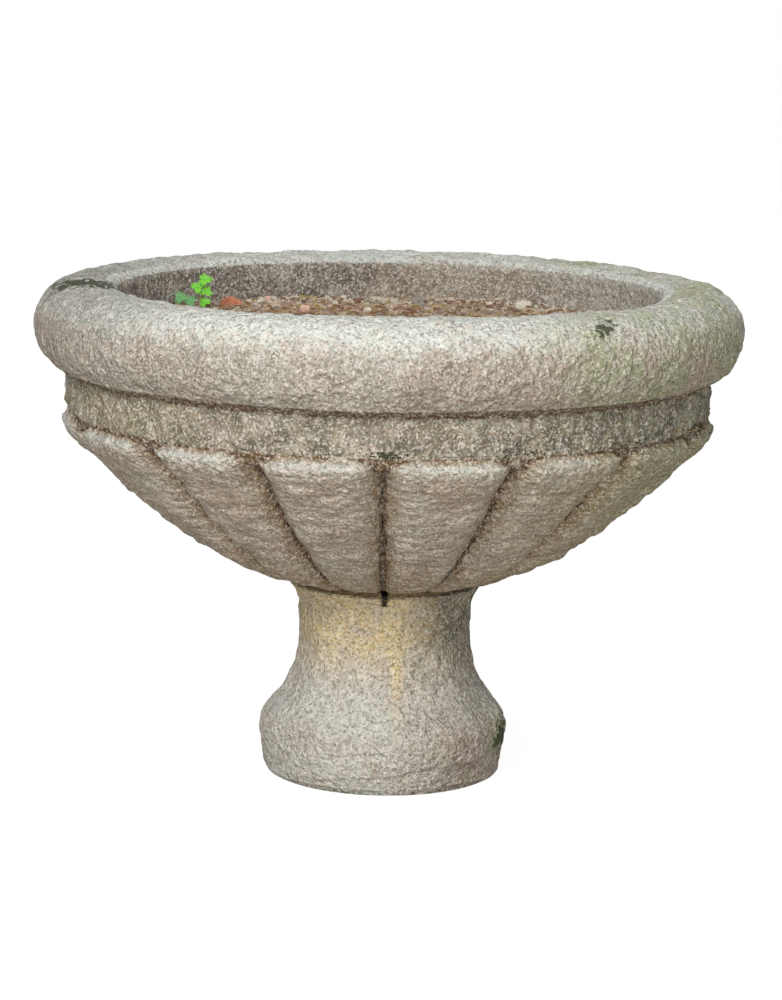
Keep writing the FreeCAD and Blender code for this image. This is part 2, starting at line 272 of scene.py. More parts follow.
# ------------------------------------------------------------------- finishes
@dataclass(frozen=True)
class WeatheredGranite:
    """Old granite out of doors, with weather staining, painted shade and painted highlights where
    the mesh's masks ask.
    """

    fresh: tuple = colour(168, 163, 150)
    mauve: tuple = colour(158, 142, 128)
    # light grey: pale streaks on the inner wall, and painted highlight on tops, the tabs'
    # shoulders and the lit side
    pale: tuple = colour(196, 202, 195)
    # light grain, and painted highlight on the relief's crests
    grain_and_painted_highlight: tuple = colour(222, 218, 208)
    # dark grain, and painted shade in the relief's hollows and tool marks
    grain_and_painted_shade: tuple = colour(84, 76, 66)
    grain_pink: tuple = colour(198, 172, 158)
    olive: tuple = colour(138, 128, 72)
    # mid brown: painted shade over the groove flanks and low on the lobes, and a brown tint on the
    # lobes and the inner wall
    umber_and_painted_shade: tuple = colour(124, 102, 68)
    # dark brown: earth in the grooves and the crease, and painted shade there, low on the lobes
    # and at the joint
    earth_and_painted_shade: tuple = colour(84, 62, 34)
    # yellow: straw stain, and painted light on the pedestal's lit upper front
    straw_and_painted_light: tuple = colour(208, 186, 132)
    lichen: tuple = colour(142, 148, 108)
    moss: tuple = colour(54, 60, 32)
    # dark grey: grime streaks on the inner wall, and painted shade in recesses and on the shaded
    # side
    grime_and_painted_shade: tuple = colour(84, 80, 70)
    grain: float = 1.7 * MM
    pit: float = 6.0 * MM
    relief: float = 6.0 * MM

    def material(self, name: str) -> bpy.types.Material:
        """Put the stone's material together.

        Args:
            name: The material's name.

        Returns:
            The material.
        """
        bench = Bench(name)
        broad = bench.noise(0.09, 4, 0.6)
        patch = bench.noise(0.028, 4, 0.6, shift=3.0)
        fine = bench.noise(0.0068, 2, 0.5, shift=5.0)
        speck = bench.noise(self.grain, 2, 0.6, shift=9.0)
        ripple = bench.noise(0.0055, 2, 0.5, (4.5, 4.5, 1.0), 7.0)
        first = Shade(bench, bench.cells(self.grain * 1.5, 2.0).outputs["Color"])
        second = Shade(bench, bench.cells(self.grain * 1.3, 5.0).outputs["Color"])
        tooled = bench.mask("tooled")
        relief = fine * (1 - tooled * 0.55) + ripple * tooled * 0.55

        base = bench.blend(broad.step(0.38, 0.62) * 0.75, self.fresh, self.mauve)
        # painted highlight on upward faces, the tabs' shoulders and the lit side
        base = bench.blend(bench.mask("pale") * patch.step(0.2, 0.55), base, self.pale)
        # straw stain, and painted light on the pedestal's lit upper front
        base = bench.blend(bench.mask("straw_and_painted_light") * patch.step(0.2, 0.65) * 0.9, base, self.straw_and_painted_light)
        base = bench.blend(bench.mask("olive") * patch.step(0.2, 0.7), base, self.olive)
        green = (bench.mask("lichen") + patch + fine * 1.3 - 1.15).step(0.25, 0.75)
        base = bench.blend(green * 0.75, base, self.lichen)
        streak = bench.noise(0.006, 3, 0.6, (1.0, 1.0, 5.0), 11.0)
        base = bench.blend(bench.mask("wall") * streak.step(0.5, 0.68) * 0.22, base, self.pale)
        base = bench.blend(bench.mask("wall") * streak.step(0.48, 0.3) * 0.25, base, self.grime_and_painted_shade)
        # painted shade over the groove flanks and low on the lobes, with a brown tint
        base = bench.blend(bench.mask("umber_and_painted_shade") * patch.step(0.15, 0.6), base, self.umber_and_painted_shade)
        # painted shade: the recessed frieze, under the rim, the inner wall's left, the rim's top
        # at the left and the pedestal's right side
        grime_and_painted_shade = bench.mask("grime_and_painted_shade") * (patch + fine * 0.6).step(0.5, 0.95)
        base = bench.blend(grime_and_painted_shade, base, self.grime_and_painted_shade)
        # earth with painted shade, stronger in the relief's hollows
        earth_and_painted_shade = (bench.mask("earth_and_painted_shade") * 1.5 + relief * -0.9).step(0.1, 0.8)
        base = bench.blend(earth_and_painted_shade, base, self.earth_and_painted_shade)
        # painted highlight on the relief's crests, painted shade in its hollows and tool marks
        base = bench.blend(relief.step(0.52, 0.68) * 0.3, base, self.grain_and_painted_highlight)
        base = bench.blend(relief.step(0.46, 0.3) * (tooled * 0.3 + 0.3), base, self.grain_and_painted_shade)
        base = bench.blend(first.step(0.6, 0.8) * 0.34, base, self.grain_pink)
        base = bench.blend(second.step(0.62, 0.8) * 0.4, base, self.grain_and_painted_highlight)
        base = bench.blend(second.step(0.36, 0.2) * 0.45, base, self.grain_and_painted_shade)
        base = bench.blend(speck.step(0.42, 0.3) * 0.6, base, self.grain_and_painted_shade)
        moss = (bench.mask("moss") + fine * 1.4 + patch * 1.4 - 1.4).step(0.6, 0.78)
        base = bench.blend(moss * 0.9, base, self.moss)
        # painted shadow: near black in the weep notch
        base = bench.blend(bench.mask("painted_notch_shadow"), base, (0.004, 0.003, 0.002, 1))

        pits = bench.cells(self.pit, 4.0)
        hollow = Shade(bench, pits.outputs["Distance"])
        height = relief + speck * 0.12 + hollow * 0.22 + moss * 0.06
        return bench.finish(base, 0.93, height, self.relief, {"Specular IOR Level": 0.25})


@dataclass(frozen=True)
class DampSoil:
    """Red-brown potting soil with pale crumbs and fibres."""

    dark: tuple = colour(112, 88, 72)
    warm: tuple = colour(168, 146, 122)
    crumb: tuple = colour(222, 210, 188)

    def material(self, name: str) -> bpy.types.Material:
        """Put the soil's material together.

        Args:
            name: The material's name.

        Returns:
            The material.
        """
        bench = Bench(name)
        patch = bench.noise(0.02, 4, 0.65)
        crumbs = bench.noise(0.0035, 3, 0.7, shift=2.0)
        grit = bench.cells(0.004, 1.0)
        base = bench.blend(patch.step(0.35, 0.65), self.dark, self.warm)
        base = bench.blend(crumbs.step(0.53, 0.64) * 0.8, base, self.crumb)
        base = bench.blend(crumbs.step(0.42, 0.3) * 0.8, base, self.dark)
        height = crumbs + Shade(bench, grit.outputs["Distance"]) * 0.7
        return bench.finish(base, 0.95, height, 2 * MM, {"Specular IOR Level": 0.2})


@dataclass(frozen=True)
class Speckled:
    """Plain mineral or plant matter with blotches of a second colour."""

    main: tuple
    blotch: tuple
    size: float = 3 * MM
    roughness: float = 0.9
    relief: float = 0.5 * MM
    glow: float = 0.0

    def material(self, name: str) -> bpy.types.Material:
        """Put the matter's material together.

        Args:
            name: The material's name.

        Returns:
            The material.
        """
        bench = Bench(name)
        spots = bench.noise(self.size, 4, 0.65)
        fine = bench.noise(self.size / 4, 3, 0.6, shift=3.0)
        base = bench.blend(spots.step(0.38, 0.64), self.main, self.blotch)
        base = bench.blend(fine.step(0.45, 0.3) * 0.35, base, self.blotch, "MULTIPLY")
        return bench.finish(base, self.roughness, spots + fine * 0.5, self.relief,
                            {"Subsurface Weight": self.glow, "Subsurface Scale": 2 * MM})


class Matter(Enum):
    """Finishes of the small pieces."""

    MORTAR = Speckled(colour(122, 100, 66), colour(72, 58, 38))
    TERRACOTTA = Speckled(colour(208, 142, 108), colour(178, 106, 78))
    PINK_STONE = Speckled(colour(214, 178, 160), colour(186, 146, 130))
    PALE_STONE = Speckled(colour(214, 206, 190), colour(178, 168, 152))
    GREY_STONE = Speckled(colour(150, 144, 134), colour(116, 110, 100))
    BARK = Speckled(colour(146, 106, 78), colour(98, 70, 54), 2 * MM)
    DRY_LEAF = Speckled(colour(176, 160, 96), colour(132, 116, 66), 3 * MM)
    NEEDLE = Speckled(colour(196, 164, 120), colour(148, 110, 76), 4 * MM)
    BRIGHT_LEAF = Speckled(colour(122, 200, 50), colour(92, 172, 40), 2 * MM, 0.5, 0.2 * MM, 0.1)
    DULL_LEAF = Speckled(colour(112, 168, 104), colour(82, 134, 78), 2 * MM, 0.6, 0.2 * MM, 0.1)
    STEM = Speckled(colour(126, 128, 60), colour(146, 92, 60), 5 * MM, 0.5)
    MOSS = Speckled(colour(66, 70, 34), colour(36, 40, 20), 1.5 * MM, 0.95, 0.8 * MM)

    def material(self) -> bpy.types.Material:
        """Return this finish's material, made the first time it is asked for."""
        name = f"{self.name.lower()}_finish"
        return bpy.data.materials.get(name) or self.value.material(name)

    def dress(self, piece: bpy.types.Object) -> None:
        """Give a piece this finish."""
        piece.data.materials.clear()
        piece.data.materials.append(self.material())


# ---------------------------------------------------------------- mesh helpers
@dataclass(frozen=True)
class StoneNoise:
    """Repeatable smooth noise in space that shapes worn stone."""

    seed: int = 1

    def _corner(self, cell: np.ndarray) -> np.ndarray:
        """Give each lattice cell its own number.

        Args:
            cell: Whole coordinates, one row each.

        Returns:
            Numbers from -1 to 1.
        """
        mixed = (cell[:, 0] * 374761393 + cell[:, 1] * 668265263
                 + cell[:, 2] * 2147483647 + self.seed * 1274126177) & 0xFFFFFFFF
        mixed = ((mixed ^ (mixed >> 13)) * 1274126177) & 0xFFFFFFFF
        mixed = mixed ^ (mixed >> 16)
        return (mixed & 0xFFFF) / 32767.5 - 1.0

    def at(self, points: np.ndarray, size: float, layers: int = 1) -> np.ndarray:
        """Return the noise at points.

        Args:
            points: Places in metres, one row each.
            size: Length of the broadest waves in metres.
            layers: How many layers, each half the size and strength.

        Returns:
            Numbers from about -1 to 1.
        """
        total = np.zeros(len(points))
        for layer in range(layers):
            scaled = points / (size / 2**layer) + layer * 17.3
            cell = np.floor(scaled).astype(np.int64)
            part = scaled - cell
            eased = part * part * part * (part * (part * 6 - 15) + 10)
            for corner in itertools.product((0, 1), repeat=3):
                pick = np.array(corner)
                weight = np.prod(np.where(pick, eased, 1 - eased), axis=1)
                total += weight * self._corner(cell + pick) / 2**layer
        return total


def put_in_scene(name: str, mesh: bpy.types.Mesh) -> bpy.types.Object:
    """Make an object of a mesh, fixed to the urn.

    Args:
        name: The piece's name.
        mesh: Its mesh, in place.

    Returns:
        The new object.
    """
    piece = bpy.data.objects.new(name, mesh)
    bpy.context.scene.collection.objects.link(piece)
    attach(piece, "root")
    return piece


def mesh_of(name: str, points: np.ndarray, faces: list, smooth: bool = True) -> bpy.types.Mesh:
    """Make a mesh.

    Args:
        name: Its name.
        points: Its points in metres.
        faces: Its faces, as the numbers of their points.
        smooth: Whether its faces are shaded smooth.

    Returns:
        The new mesh.
    """
    mesh = bpy.data.meshes.new(name)
    mesh.from_pydata([tuple(point) for point in points], [], faces)
    mesh.update()
    mesh.polygons.foreach_set("use_smooth", [smooth] * len(mesh.polygons))
    return mesh


def ring_faces(rows: int, columns: int) -> list[tuple[int, int, int, int]]:
    """Join the points of a grid whose columns close in a ring.

    Args:
        rows: How many rows the grid has.
        columns: How many columns.

    Returns:
        The faces, as the numbers of their points.
    """
    faces = []
    for row in range(rows - 1):
        for column in range(columns):
            after = (column + 1) % columns
            faces.append((row * columns + column, row * columns + after,
                          (row + 1) * columns + after, (row + 1) * columns + column))
    return faces


def grid_normals(grid: np.ndarray) -> np.ndarray:
    """Work out the normals of a grid whose columns close in a ring.

    Args:
        grid: Points by row and column.

    Returns:
        Unit normals in the same order.
    """
    along = np.gradient(grid, axis=0)
    around = np.roll(grid, -1, axis=1) - np.roll(grid, 1, axis=1)
    normal = np.cross(around, along)
    length = np.linalg.norm(normal, axis=2, keepdims=True)
    return normal / np.maximum(length, 1e-12)


def mark(mesh: bpy.types.Mesh, masks: dict[str, np.ndarray]) -> None:
    """Store numbers at a mesh's points for its material to read.

    Args:
        mesh: The mesh.
        masks: The numbers by the name that the material reads.
    """
    for name, values in masks.items():
        layer = mesh.attributes.new(name, "FLOAT", "POINT")
        layer.data.foreach_set("value", np.clip(values, 0, 1).astype(np.float32).ravel())


def ease(values: np.ndarray, low: float, high: float) -> np.ndarray:
    """Rise smoothly from 0 at low to 1 at high."""
    share = np.clip((values - low) / (high - low), 0, 1)
    return share * share * (3 - 2 * share)


def square_arc(run: float, rise: float) -> float:
    """Return the radius of an arc over a run and rise that ends square to the run."""
    return (run**2 + rise**2) / (2 * run)


def add_needle(points: list, faces: list, place: Vector, turn: float, length: float,
               bow: float, lift: float) -> None:
    """Add one bent needle of three sides to a mesh's lists, in millimetres.

    Args:
        points: The mesh's points.
        faces: The mesh's faces.
        place: The needle's middle.
        turn: The way it points, seen from above.
        length: Its length.
        bow: How far its middle stands off the straight line.
        lift: How much higher its tip lies than its foot.
    """
    ahead = Vector((math.cos(turn), math.sin(turn), 0))
    aside = Vector((-ahead.y, ahead.x, 0))
    first = len(points)
    stations = 5
    for step in range(stations):
        share = step / (stations - 1)
        centre = place + ahead * length * (share - 0.5) + aside * bow * 4 * share * (1 - share)
        centre.z += lift * share
        thick = 0.8 * (1 - 0.6 * share)
        for corner in range(3):
            angle = corner * 2 * math.pi / 3
            points.append(centre + aside * thick * math.cos(angle)
                          + Vector((0, 0, thick * math.sin(angle))))
    for step in range(stations - 1):
        for corner in range(3):
            after = (corner + 1) % 3
            faces.append((first + step * 3 + corner, first + step * 3 + after,
                          first + step * 3 + 3 + after, first + step * 3 + 3 + corner))
    faces.append((first, first + 1, first + 2))
    last = first + (stations - 1) * 3
    faces.append((last + 2, last + 1, last))


@dataclass
class Outline:
    """Half outline of a turned form: radius and height in millimetres."""

    points: list[tuple[float, float]]

    def line(self, end: tuple[float, float], pitch: float = 3.0) -> "Outline":
        """Go straight to a point.

        Args:
            end: The line's end.
            pitch: Spacing of the points.

        Returns:
            The outline itself.
        """
        start = self.points[-1]
        steps = max(1, round(math.dist(start, end) / pitch))
        for step in range(1, steps + 1):
            share = step / steps
            self.points.append((start[0] + (end[0] - start[0]) * share,
                                start[1] + (end[1] - start[1]) * share))
        return self

    def arc(self, end: tuple[float, float], radius: float, side: int,
            pitch: float = 3.0) -> "Outline":
        """Go to a point on an arc.

        Args:
            end: The arc's end.
            radius: Its radius.
            side: +1 bulges to the left of the way, -1 to the right.
            pitch: Spacing of the points.

        Returns:
            The outline itself.
        """
        start = self.points[-1]
        run, rise = end[0] - start[0], end[1] - start[1]
        chord = math.hypot(run, rise)
        reach = math.sqrt(radius**2 - chord**2 / 4)
        centre = ((start[0] + end[0]) / 2 + side * rise / chord * reach,
                  (start[1] + end[1]) / 2 - side * run / chord * reach)
        first = math.atan2(start[1] - centre[1], start[0] - centre[0])
        turn = -side * 2 * math.asin(chord / 2 / radius)
        steps = max(2, round(abs(turn) * radius / pitch))
        for step in range(1, steps + 1):
            angle = first + turn * step / steps
            self.points.append((centre[0] + radius * math.cos(angle),
                                centre[1] + radius * math.sin(angle)))
        return self

    def array(self) -> np.ndarray:
        """Return the points as an array."""
        return np.array(self.points)


# ----------------------------------------------------------------------- bowl
@dataclass
class Bowl:
    """Gadrooned bowl stone; heights in millimetres over its own bed."""

    bed: float = 240.0
    height: float = 360.0
    rim_radius: float = 425.0
    rim_roll: float = 50.0
    rim_depth: float = 107.0
    rim_fall: float = 3.0
    rim_undercut: float = 26.0
    crease_radius: float = 384.0
    lip_radius: float = 324.0
    lip_roll: float = 18.0
    wall: tuple = (306.0, 262.0)
    hip: tuple = (262.0, 150.0)
    floor: tuple = (130.0, 65.0)
    neck_radius: float = 112.0
    belly: tuple = (239.0, 54.0)
    haunch: tuple = (358.0, 157.0)
    crest: tuple = (395.0, 196.0)
    tab_top: tuple = (391.0, 209.0)
    ledge_radius: float = 385.5
    lobes: int = 16
    columns: int = 1200
    brow: float = 24.0
    # distance down the lobe from its top, groove depth, flank width and half gap there
    groove: tuple = ((0, 8, 22, 15.0), (6, 12, 26, 9.0), (14, 18, 31, 5.0), (28, 23, 38, 2.5),
                     (50, 27, 45, 1.0), (100, 25, 46, 1.0), (200, 21, 36, 1.0),
                     (290, 13, 20, 1.0), (366, 5, 10, 1.0))
    # how far each groove wanders from its even place, from the front round by +X
    wander: tuple = (-5.0, -3.0, -3.0, -3.5, -1.0, 1.0, -2.0, 2.0, 0.0, 2.0, -1.0, 1.5,
                     -1.0, 0.0, 3.5, -4.0)
    grid: np.ndarray = field(default=None, init=False, repr=False)

    def lobe_outline(self) -> np.ndarray:
        """Draw the lobes' crests.

        Returns:
            Radius and height from the lobe's top down to the neck.
        """
        outline = Outline([(self.neck_radius, 0.0)])
        outline.arc(self.belly, 320, -1, 2.5).arc(self.haunch, 700, -1, 2.5)
        outline.arc(self.crest, 120, -1, 2.0).line(self.tab_top, 1.5)
        return outline.array()[::-1]

    def upper_outline(self) -> np.ndarray:
        """Draw the frieze, the rim and the hollow.

        Returns:
            Radius and height from the ledge over the rim to the hollow's floor.
        """
        edge = (self.rim_radius - self.rim_undercut, self.height - self.rim_depth + 8.0)
        under_rim = square_arc(self.rim_radius - edge[0],
                               self.height - self.rim_roll - edge[1])
        outline = Outline([(self.ledge_radius, self.tab_top[1] + 1.5)])
        outline.line((self.crease_radius + 1.0, self.height - self.rim_depth + 1.0), 2.2)
        outline.line(edge, 1.5)
        outline.arc((self.rim_radius, self.height - self.rim_roll), under_rim, -1, 2.2)
        outline.arc((self.rim_radius - self.rim_roll, self.height), self.rim_roll, -1, 2.2)
        outline.line((self.lip_radius + self.lip_roll, self.height - self.rim_fall))
        outline.arc((self.lip_radius, self.height - self.rim_fall - self.lip_roll),
                    self.lip_roll, -1, 2.5)
        outline.line(self.wall, 2.5).line(self.hip, 9.0).line(self.floor, 12.0)
        return outline.array()

    def shape(self) -> tuple[np.ndarray, dict[str, np.ndarray]]:
        """Work out the carved form.

        Returns:
            The grid of points in metres, and the lobes' share and distances
            that the staining and the painted shade and light need.
        """
        lobe = self.lobe_outline()
        slope = np.gradient(lobe, axis=0)
        slope /= np.linalg.norm(slope, axis=1, keepdims=True)
        outward = np.stack([-slope[:, 1], slope[:, 0]], axis=1)
        down = np.concatenate([[0], np.cumsum(np.linalg.norm(np.diff(lobe, axis=0), axis=1))])
        keys = np.array(self.groove, float)
        depth, flank, gap = (np.interp(down, keys[:, 0], keys[:, i]) for i in (1, 2, 3))
        root = lobe - outward * depth[:, None]

        turn = np.arange(self.columns) / self.columns * 2 * math.pi
        pitch = 2 * math.pi / self.lobes
        nearest = np.round(turn / pitch)
        shift = np.array(self.wander)[nearest.astype(int) % self.lobes]
        away = (turn - nearest * pitch) * lobe[:, 0][:, None] - shift * (lobe[:, 0] / 392)[:, None]
        across = (np.abs(away) - gap[:, None]) / flank[:, None]
        top = np.minimum(down / self.brow, (down[-1] - down) / (self.brow * 0.6))[:, None]
        miss = np.sqrt((1 - np.clip(across, 0, 1))**2 + (1 - np.clip(top, 0, 1))**2)
        miss = np.clip(miss, 0, 1)
        raised = 0.35 * np.sqrt(1 - miss**2) + 0.65 * (1 - miss**2.2)
        under = root[:, None, :] + (lobe - root)[:, None, :] * raised[:, :, None]

        upper = self.upper_outline()
        over = np.repeat(upper[:, None, :], self.columns, axis=1)
        base = np.array([[self.neck_radius * 0.75, 0.0], [18.0, 0.0]])
        bed = np.repeat(base[:, None, :], self.columns, axis=1)
        profile = np.concatenate([bed[::-1], under[::-1], over]) * MM
        angle = turn - math.pi / 2
        grid = np.stack([profile[:, :, 0] * np.cos(angle), profile[:, :, 0] * np.sin(angle),
                         profile[:, :, 1] + self.bed * MM], axis=2)

        blank = np.ones((len(profile), self.columns))
        share, fall = blank.copy(), blank * -1
        share[2:2 + len(lobe)] = raised[::-1]
        fall[2:2 + len(lobe)] = down[::-1][:, None]
        return grid, {"share": share, "down": fall}

    def wear(self, grid: np.ndarray, lobes: dict[str, np.ndarray]) -> np.ndarray:
        """Roughen the carved form as a chisel and weather leave it.

        Args:
            grid: The carved form.
            lobes: Each point's share of the lobe's height and its distance
                from the lobe's top.

        Returns:
            The worn form.
        """
        flat = grid.reshape(-1, 3)
        normal = grid_normals(grid)
        shape = grid.shape[:2]
        height = grid[:, :, 2] - self.bed * MM
        waves = StoneNoise(7).at(flat, 0.16, 2).reshape(shape) * 1.5
        lumps = StoneNoise(11).at(flat, 0.030, 2).reshape(shape)
        coarse = StoneNoise(19).at(flat, 0.0125, 2).reshape(shape)
        tooled = StoneNoise(23).at(flat * np.array([1, 1, 3.6]), 0.028, 2).reshape(shape)
        on_lobe = ease(lobes["down"], 16, 40) * lobes["share"]
        frieze = ((height > 0.211) & (height < 0.25) & (lobes["down"] < 0)).astype(float)
        rough = 0.8 + 0.7 * frieze
        push = (waves + lumps * 1.2 * rough + coarse * (1.9 - 0.9 * on_lobe) * rough
                + tooled * on_lobe * (2.4 - 0.9 * ease(np.abs(grid[:, :, 0]), 0.2, 0.33)))
        outer = np.linalg.norm(grid[:, :, :2], axis=2)
        push = push * np.where((outer < 0.33) & (height > 0.2), 0.5, 1.0)
        bedded = (height > 0.001) | (outer > 0.111)
        return grid + normal * (push * bedded)[:, :, None] * MM

    def stains_and_painted_light(self, grid: np.ndarray, normal: np.ndarray,
               lobes: dict[str, np.ndarray]) -> dict[str, np.ndarray]:
        """Work out where weather has coloured the stone, and where shade and light are painted on
        it.

        Args:
            grid: The worn form.
            normal: Its normals.
            lobes: The lobes' share and distances.

        Returns:
            Masks from 0 to 1 by name.
        """
        x, y, z = (grid[:, :, axis] / MM for axis in range(3))
        z = z - self.bed
        radius = np.hypot(x, y)
        right = ease(x, 40, 330)
        blotch = StoneNoise(31).at(grid.reshape(-1, 3), 0.07, 3).reshape(x.shape)
        on_lobe = lobes["down"] >= 0
        groove = np.where(on_lobe, 1 - lobes["share"], 0.0)
        frieze = (~on_lobe) & (z > 208) & (z < 262) & (radius > 370)
        crease = np.exp(-((z - 257) / 7.0) ** 2) * (radius > 384) * (radius < 405)
        outer_rim = (z > 250) & (radius > 340)
        inside = (~on_lobe) & (radius < 330) & (z < 350)
        top = ease(normal[:, :, 2], 0.1, 0.8)
        low = ease(lobes["down"], 180, 360) * on_lobe
        shoulder = on_lobe * (1 - ease(lobes["down"], 6, 34)) * ease(lobes["share"], 0.6, 0.95)
        wall_left = inside * ease(-x, -60, 160)
        return {
            # painted highlight: upward faces, the tabs' top shoulders (less at the right) and the
            # inner wall's right
            "pale": top * 0.85 + shoulder * (1 - right * 0.5) * 0.95
                    + inside * ease(x, 120, 260) * 0.5,
            "olive": frieze * (0.7 + 0.4 * blotch) + outer_rim * right * 0.25
                     + on_lobe * right * 0.75,
            "lichen": outer_rim * (ease(x, 120, 300) * 0.5 + 0.1) * (1 + blotch)
                      + on_lobe * ease(x, 120, 340) * (0.7 + 0.4 * groove)
                      + frieze * (0.3 + right * 0.4),
            "straw_and_painted_light": low * 0.3,
            # painted shade over the groove flanks and low on the lobes; brown tint on the lobes
            # and the inner wall
            "umber_and_painted_shade": ease(groove, 0.12, 0.7) * 0.7 + low * 0.6 + on_lobe * 0.26 + inside * 0.45,
            "wall": inside * 1.0,
            # earth and painted shade in the grooves, rust and painted shade in the crease under
            # the rim, painted shade low on the lobes
            "earth_and_painted_shade": ease(groove, 0.48, 0.9) * (0.75 + 0.3 * ease(lobes["down"], 20, 200))
                     + ease(groove, 0.3, 0.7) * ease(np.abs(x), 150, 280) * 0.4
                     + crease + ease(lobes["down"], 220, 366) * on_lobe * 0.35,
            # painted shade: the inner wall's left, the recessed frieze (less at the left), under
            # the rim and the rim's top at the left
            "grime_and_painted_shade": wall_left * 1.5 + inside * 0.4
                    + frieze * (0.95 - 0.4 * ease(-x, 120, 300))
                    + ease(-z, -334, -318) * (radius > 405) * (0.42 - 0.37 * right)
                    + outer_rim * top * ease(-x, 180, 380) * 0.75,
            "tooled": on_lobe * ease(lobes["down"], 20, 60),
            "moss": self._moss(x, y, z)
                    + (np.abs(z - 213) < 7) * (radius > 370) * 0.18 * right
                    + (groove > 0.6) * ease(x, 90, 260) * 0.45,
            "painted_notch_shadow": np.zeros_like(x),
        }

    @staticmethod
    def _moss(x: np.ndarray, y: np.ndarray, z: np.ndarray) -> np.ndarray:
        """Work out where moss sits: patches at the left, right and front.

        Args:
            x: Places along X in millimetres.
            y: Places along Y.
            z: Heights over the bed.

        Returns:
            The moss from 0 to about 1.
        """
        spots = (((-360, -62, 354), (58, 58, 16), 1.1), ((237, -325, 347), (24, 22, 16), 1.0),
                 ((226, -352, 318), (9, 9, 9), 0.9), ((74, -408, 318), (9, 9, 9), 0.7),
                 ((-4, -386, 211), (9, 12, 6), 1.0), ((330, -190, 318), (30, 30, 16), 0.4))
        total = np.zeros_like(x)
        for (px, py, pz), (sx, sy, sz), strength in spots:
            away = ((x - px) / sx) ** 2 + ((y - py) / sy) ** 2 + ((z - pz) / sz) ** 2
            total = np.maximum(total, strength * np.exp(-away))
        return total

    def build(self) -> bpy.types.Object:
        """Carve, wear, stain and place the bowl, with painted shade and light.

        Returns:
            The piece.
        """
        grid, lobes = self.shape()
        grid = self.wear(grid, lobes)
        normal = grid_normals(grid)
        self.grid = grid
        mesh = mesh_of("bowl_stone", grid.reshape(-1, 3), ring_faces(*grid.shape[:2]))
        masks = self.stains_and_painted_light(grid, normal, lobes)
        mark(mesh, {name: values.ravel() for name, values in masks.items()})
        piece = put_in_scene("bowl_stone", mesh)
        piece.data.materials.append(WeatheredGranite().material("bowl_granite"))
        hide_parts("bowl")
        return piece


